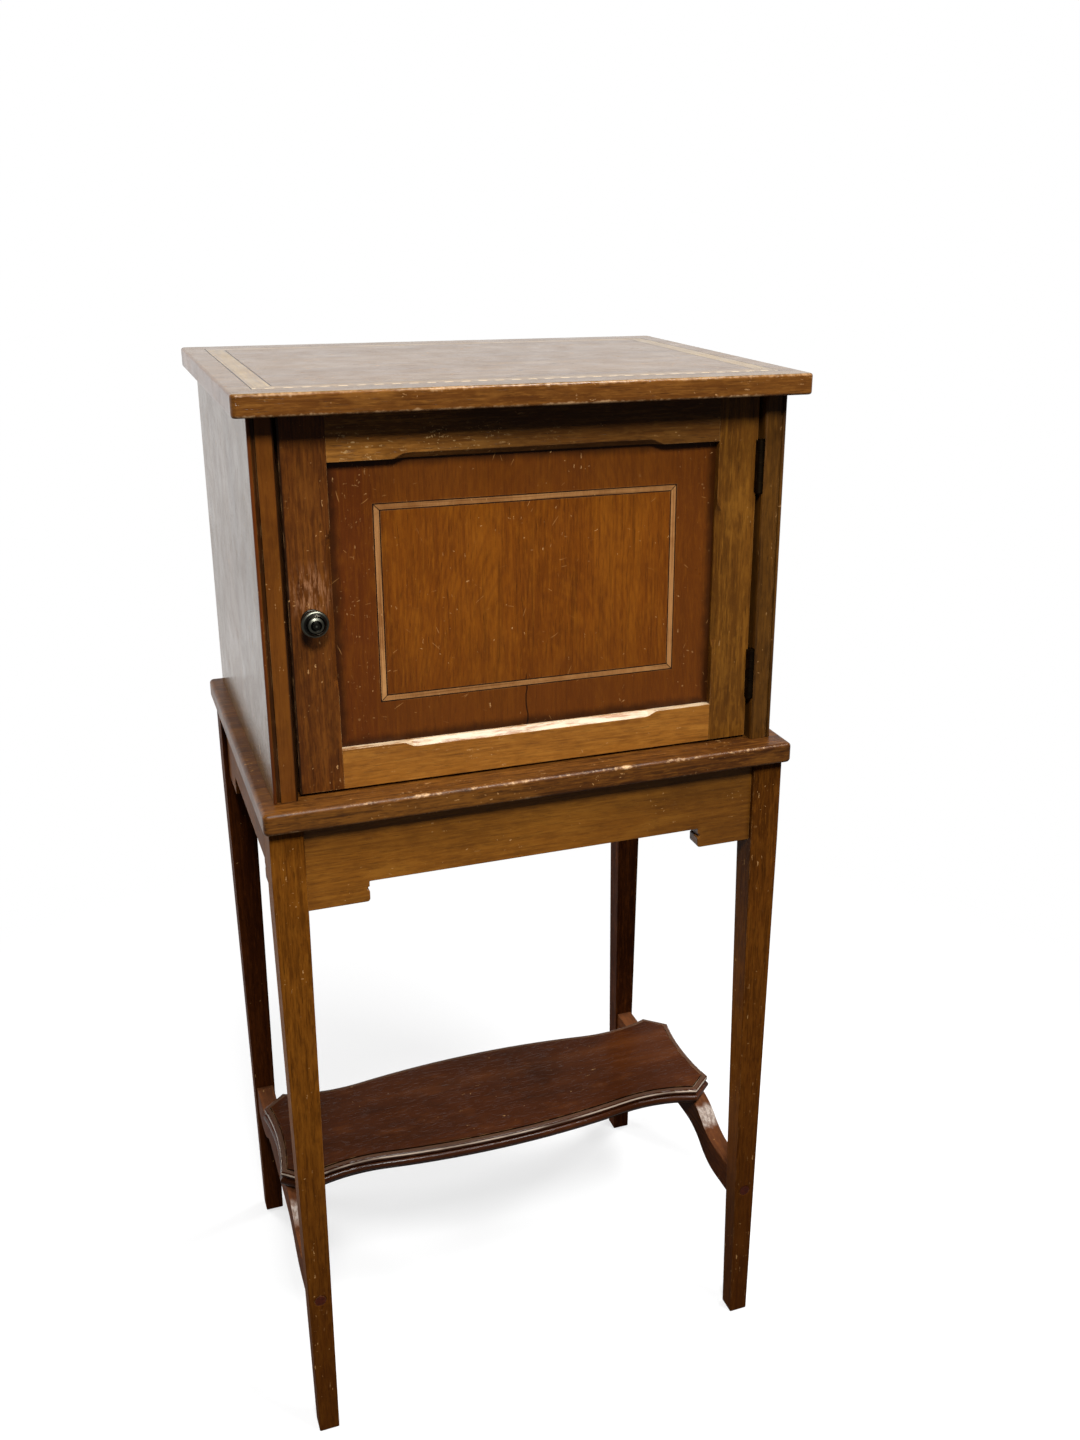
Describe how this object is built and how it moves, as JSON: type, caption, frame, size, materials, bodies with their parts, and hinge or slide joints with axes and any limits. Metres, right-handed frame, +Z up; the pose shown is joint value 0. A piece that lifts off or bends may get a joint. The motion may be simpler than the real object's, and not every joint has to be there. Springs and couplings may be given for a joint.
{
  "type": "bedside cupboard on stand",
  "caption": "Inlaid mahogany bedside cupboard with a panelled hinged door and turn catch, on a tall stand of tapered legs with bracketed aprons and a shaped undershelf.",
  "frame": {"origin": "on the floor, under the middle of the overall box", "axes": "+X to the right seen from the front, +Y to the back (the door faces -Y), +Z up"},
  "size_m": [0.406, 0.31, 0.838],
  "materials": {
    "mahogany": "worn gloss varnish",
    "top_wood": "gloss varnish",
    "panel_wood": "satin varnish",
    "shelf_wood": "gloss varnish",
    "inner_wood": "bare stained wood",
    "light_inlay": "satin varnish",
    "dark_inlay": "satin varnish",
    "aged_brass": "dull, darkened",
    "dark_bronze": "dark patina",
    "steel": "plain"
  },
  "bodies": {
    "frame": {"left_side_board": "mahogany", "right_side_board": "mahogany", "mid_board": "mahogany", "front_left_leg": "mahogany", "front_right_leg": "mahogany", "back_left_leg": "mahogany", "back_right_leg": "mahogany", "front_apron": "mahogany", "back_apron": "mahogany", "left_apron": "mahogany", "right_apron": "mahogany", "left_stretcher": "mahogany", "right_stretcher": "mahogany", "stretcher_plugs": "mahogany", "top_board": "top_wood", "shelf": "shelf_wood", "back_board": "inner_wood", "top_front_rail": "inner_wood", "top_back_rail": "inner_wood", "door_stop": "inner_wood", "corner_blocks": "inner_wood", "top_banding": "light_inlay", "top_banding_lines": "dark_inlay", "upper_hinge_case_leaf": "aged_brass", "upper_hinge_pin": "aged_brass", "lower_hinge_case_leaf": "aged_brass", "lower_hinge_pin": "aged_brass", "hinge_case_screws": "aged_brass", "top_screws": "steel", "case_screws": "steel", "stand_screws": "steel", "stretcher_screws": "steel", "shelf_screws": "steel", "back_board_pins": "steel"},
    "door": {"door_left_stile": "mahogany", "door_right_stile": "mahogany", "door_top_rail": "mahogany", "door_bottom_rail": "mahogany", "door_panel": "panel_wood", "door_inlay": "light_inlay", "door_inlay_lines": "dark_inlay", "upper_hinge_door_leaf": "aged_brass", "lower_hinge_door_leaf": "aged_brass", "hinge_door_screws": "aged_brass", "knob_rose": "dark_bronze"},
    "catch": {"knob": "dark_bronze", "knob_spindle": "dark_bronze", "latch_spacer": "dark_bronze", "latch_tongue": "dark_bronze", "latch_nut": "dark_bronze"}
  },
  "joints": [
    {"name": "door_hinge", "type": "hinge", "parent": "frame", "child": "door", "pos_m": [0.17425, -0.1335, 0.6895], "axis": [0, 0, 1], "range_deg": [0, 110]},
    {"name": "catch_turn", "type": "hinge", "parent": "door", "child": "catch", "pos_m": [-0.1575, -0.1305, 0.684], "axis": [0, 1, 0], "range_deg": [0, 90]}
  ]
}
